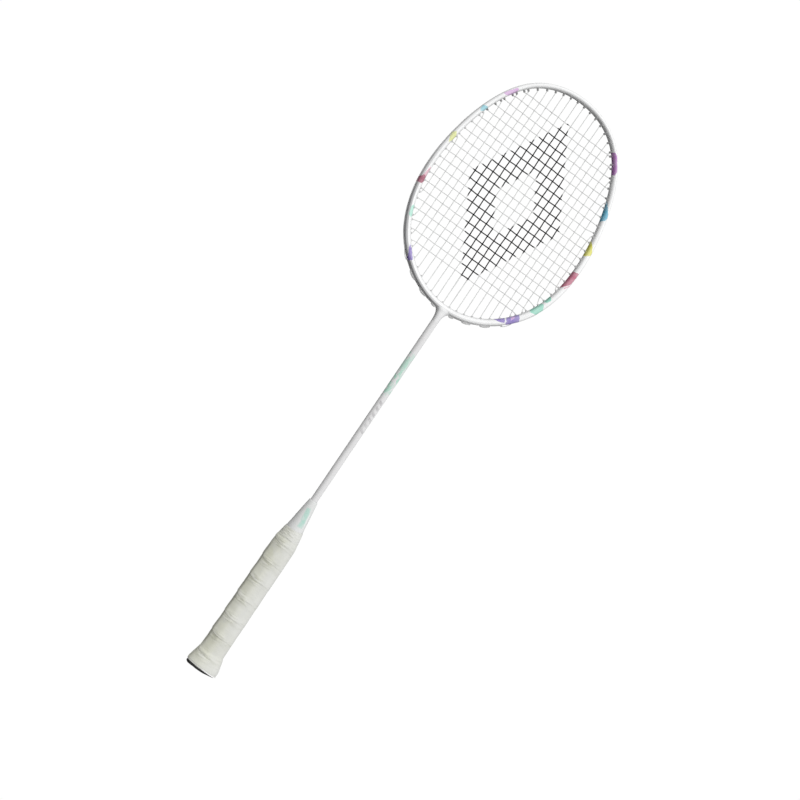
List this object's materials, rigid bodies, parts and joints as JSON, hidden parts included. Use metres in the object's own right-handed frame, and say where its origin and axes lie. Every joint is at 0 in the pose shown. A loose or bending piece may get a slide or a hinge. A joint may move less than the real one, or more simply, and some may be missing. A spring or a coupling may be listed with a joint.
{
  "type": "badminton racket",
  "caption": "Badminton racket with an egg-shaped hollow head frame, woven string bed in grommet strips, slim round shaft, tapered cone and tape-wrapped octagonal handle with a flared butt.",
  "frame": {"origin": "centre of the end face of the butt, on the handle's axis", "axes": "+Y from the butt along the shaft to the top of the head, +Z along the normal of the string bed, +X across the head; the racket lies flat"},
  "size_m": [0.1888, 0.675, 0.0306],
  "materials": {
    "frame_paint": "glossy white lacquer over moulded carbon fibre",
    "shaft_paint": "glossy pale lacquer over moulded carbon fibre",
    "joint_carbon": "bare carbon composite",
    "cone_plastic": "smooth white plastic",
    "core_wood": "bare light wood",
    "cap_plastic": "satin black plastic",
    "badge_foil": "plain grey foil on plastic",
    "grip_pu": "soft warm-white polyurethane tape",
    "band_tape": "thin off-white adhesive tape",
    "string_nylon": "braided nylon with a clear coat",
    "grommet_nylon": "moulded nylon"
  },
  "bodies": {
    "root": {"head_frame": "frame_paint", "t_joint": "joint_carbon", "shaft": "shaft_paint", "handle_cone": "cone_plastic", "handle_core": "core_wood", "butt_cap": "cap_plastic", "butt_badge": "badge_foil", "grip_tape": "grip_pu", "finishing_tape": "band_tape", "main_string": "string_nylon", "cross_string": "string_nylon", "grommets_top": "grommet_nylon", "grommets_crown_left": "grommet_nylon", "grommets_crown_right": "grommet_nylon", "grommets_shoulder_left": "grommet_nylon", "grommets_shoulder_right": "grommet_nylon", "grommets_side_left": "grommet_nylon", "grommets_side_right": "grommet_nylon", "grommets_hip_left": "grommet_nylon", "grommets_hip_right": "grommet_nylon", "grommets_throat_left": "grommet_nylon", "grommets_throat_right": "grommet_nylon"}
  },
  "joints": []
}
